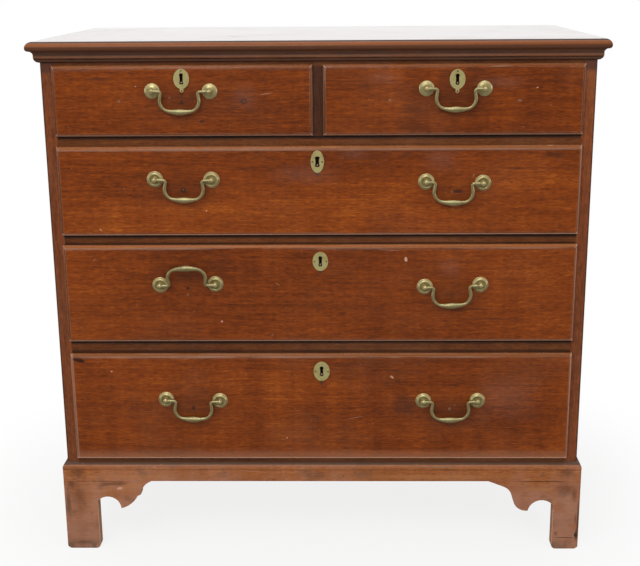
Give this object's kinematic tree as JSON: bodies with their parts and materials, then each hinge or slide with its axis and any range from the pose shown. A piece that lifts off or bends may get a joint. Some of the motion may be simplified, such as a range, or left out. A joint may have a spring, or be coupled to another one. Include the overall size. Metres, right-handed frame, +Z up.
{
  "type": "chest of drawers",
  "caption": "Low chest with two short drawers over long ones, lipped drawer fronts, swan-neck bail pulls, moulded top edge and straight bracket feet.",
  "frame": {"origin": "on the floor, under the middle of the chest's overall box", "axes": "+X to the chest's right seen from the front, +Y from the front to the back, +Z up"},
  "size_m": [0.9534, 0.5196, 0.911],
  "materials": {
    "mahogany": "old wax polish",
    "oak": "bare, darkened with age",
    "pine": "bare, darkened with age",
    "brass": "dull, aged",
    "iron": "dark, forged"
  },
  "bodies": {
    "case": {"side_left": "mahogany", "side_right": "mahogany", "top_board": "mahogany", "top_moulding": "mahogany", "base_moulding": "mahogany", "front_rails": "mahogany", "top_divider": "mahogany", "foot_front_left": "mahogany", "foot_front_right": "mahogany", "foot_rear_left": "mahogany", "foot_rear_right": "mahogany", "bottom_board": "pine", "back_boards": "pine", "drawer_runners": "pine", "dust_boards": "pine", "drawer_stops": "pine", "base_blocks": "pine"},
    "drawer_lower": {"drawer_lower_front": "mahogany", "drawer_lower_box": "oak", "drawer_lower_bottom": "oak", "drawer_lower_pull_posts": "brass", "drawer_lower_escutcheon": "brass", "drawer_lower_lock": "iron"},
    "lock_bolt_lower": {"drawer_lower_lock_bolt": "iron"},
    "drawer_middle": {"drawer_middle_front": "mahogany", "drawer_middle_box": "oak", "drawer_middle_bottom": "oak", "drawer_middle_pull_posts": "brass", "drawer_middle_escutcheon": "brass", "drawer_middle_lock": "iron"},
    "lock_bolt_middle": {"drawer_middle_lock_bolt": "iron"},
    "drawer_upper": {"drawer_upper_front": "mahogany", "drawer_upper_box": "oak", "drawer_upper_bottom": "oak", "drawer_upper_pull_posts": "brass", "drawer_upper_escutcheon": "brass", "drawer_upper_lock": "iron"},
    "lock_bolt_upper": {"drawer_upper_lock_bolt": "iron"},
    "drawer_top_left": {"drawer_top_left_front": "mahogany", "drawer_top_left_box": "oak", "drawer_top_left_bottom": "oak", "drawer_top_left_pull_posts": "brass", "drawer_top_left_escutcheon": "brass", "drawer_top_left_lock": "iron"},
    "lock_bolt_top_left": {"drawer_top_left_lock_bolt": "iron"},
    "drawer_top_right": {"drawer_top_right_front": "mahogany", "drawer_top_right_box": "oak", "drawer_top_right_bottom": "oak", "drawer_top_right_pull_posts": "brass", "drawer_top_right_escutcheon": "brass", "drawer_top_right_lock": "iron"},
    "lock_bolt_top_right": {"drawer_top_right_lock_bolt": "iron"},
    "pull_lower_left": {"bail_lower_left": "brass"},
    "pull_lower_right": {"bail_lower_right": "brass"},
    "pull_middle_left": {"bail_middle_left": "brass"},
    "pull_middle_right": {"bail_middle_right": "brass"},
    "pull_upper_left": {"bail_upper_left": "brass"},
    "pull_upper_right": {"bail_upper_right": "brass"},
    "pull_top_left": {"bail_top_left": "brass"},
    "pull_top_right": {"bail_top_right": "brass"}
  },
  "joints": [
    {"name": "drawer_lower_slide", "type": "slide", "parent": "case", "child": "drawer_lower", "axis": [0, -1, 0], "range_m": [0, 0.34]},
    {"name": "lock_bolt_lower_throw", "type": "slide", "parent": "drawer_lower", "child": "lock_bolt_lower", "axis": [0, 0, 1], "range_m": [0, 0.0055]},
    {"name": "drawer_middle_slide", "type": "slide", "parent": "case", "child": "drawer_middle", "axis": [0, -1, 0], "range_m": [0, 0.34]},
    {"name": "lock_bolt_middle_throw", "type": "slide", "parent": "drawer_middle", "child": "lock_bolt_middle", "axis": [0, 0, 1], "range_m": [0, 0.0055]},
    {"name": "drawer_upper_slide", "type": "slide", "parent": "case", "child": "drawer_upper", "axis": [0, -1, 0], "range_m": [0, 0.34]},
    {"name": "lock_bolt_upper_throw", "type": "slide", "parent": "drawer_upper", "child": "lock_bolt_upper", "axis": [0, 0, 1], "range_m": [0, 0.0055]},
    {"name": "drawer_top_left_slide", "type": "slide", "parent": "case", "child": "drawer_top_left", "axis": [0, -1, 0], "range_m": [0, 0.34]},
    {"name": "lock_bolt_top_left_throw", "type": "slide", "parent": "drawer_top_left", "child": "lock_bolt_top_left", "axis": [0, 0, 1], "range_m": [0, 0.0055]},
    {"name": "drawer_top_right_slide", "type": "slide", "parent": "case", "child": "drawer_top_right", "axis": [0, -1, 0], "range_m": [0, 0.34]},
    {"name": "lock_bolt_top_right_throw", "type": "slide", "parent": "drawer_top_right", "child": "lock_bolt_top_right", "axis": [0, 0, 1], "range_m": [0, 0.0055]},
    {"name": "pull_lower_left_swing", "type": "hinge", "parent": "drawer_lower", "child": "pull_lower_left", "pos_m": [-0.225, -0.24618, 0.2892], "axis": [-0.9997, 0, 0.0252], "range_deg": [-6, 186]},
    {"name": "pull_lower_right_swing", "type": "hinge", "parent": "drawer_lower", "child": "pull_lower_right", "pos_m": [0.2286, -0.24618, 0.2876], "axis": [-1, 0, -0.0053], "range_deg": [-6, 186]},
    {"name": "pull_middle_left_swing", "type": "hinge", "parent": "drawer_middle", "child": "pull_middle_left", "pos_m": [-0.2264, -0.24618, 0.5004], "axis": [-0.9999, 0, -0.0147], "range_deg": [-171, 21]},
    {"name": "pull_middle_right_swing", "type": "hinge", "parent": "drawer_middle", "child": "pull_middle_right", "pos_m": [0.228, -0.24618, 0.4973], "axis": [-0.9994, 0, -0.0357], "range_deg": [-6, 186]},
    {"name": "pull_upper_left_swing", "type": "hinge", "parent": "drawer_upper", "child": "pull_upper_left", "pos_m": [-0.2273, -0.24618, 0.6827], "axis": [-0.9999, 0, 0.0126], "range_deg": [-6, 186]},
    {"name": "pull_upper_right_swing", "type": "hinge", "parent": "drawer_upper", "child": "pull_upper_right", "pos_m": [0.2279, -0.24618, 0.6765], "axis": [-0.9997, 0, 0.0252], "range_deg": [-6, 186]},
    {"name": "pull_top_left_swing", "type": "hinge", "parent": "drawer_top_left", "child": "pull_top_left", "pos_m": [-0.2256, -0.24618, 0.83], "axis": [-1, 0, 0.0084], "range_deg": [-6, 180]},
    {"name": "pull_top_right_swing", "type": "hinge", "parent": "drawer_top_right", "child": "pull_top_right", "pos_m": [0.2262, -0.24618, 0.8321], "axis": [-1, 0, 0.0053], "range_deg": [-6, 180]}
  ]
}
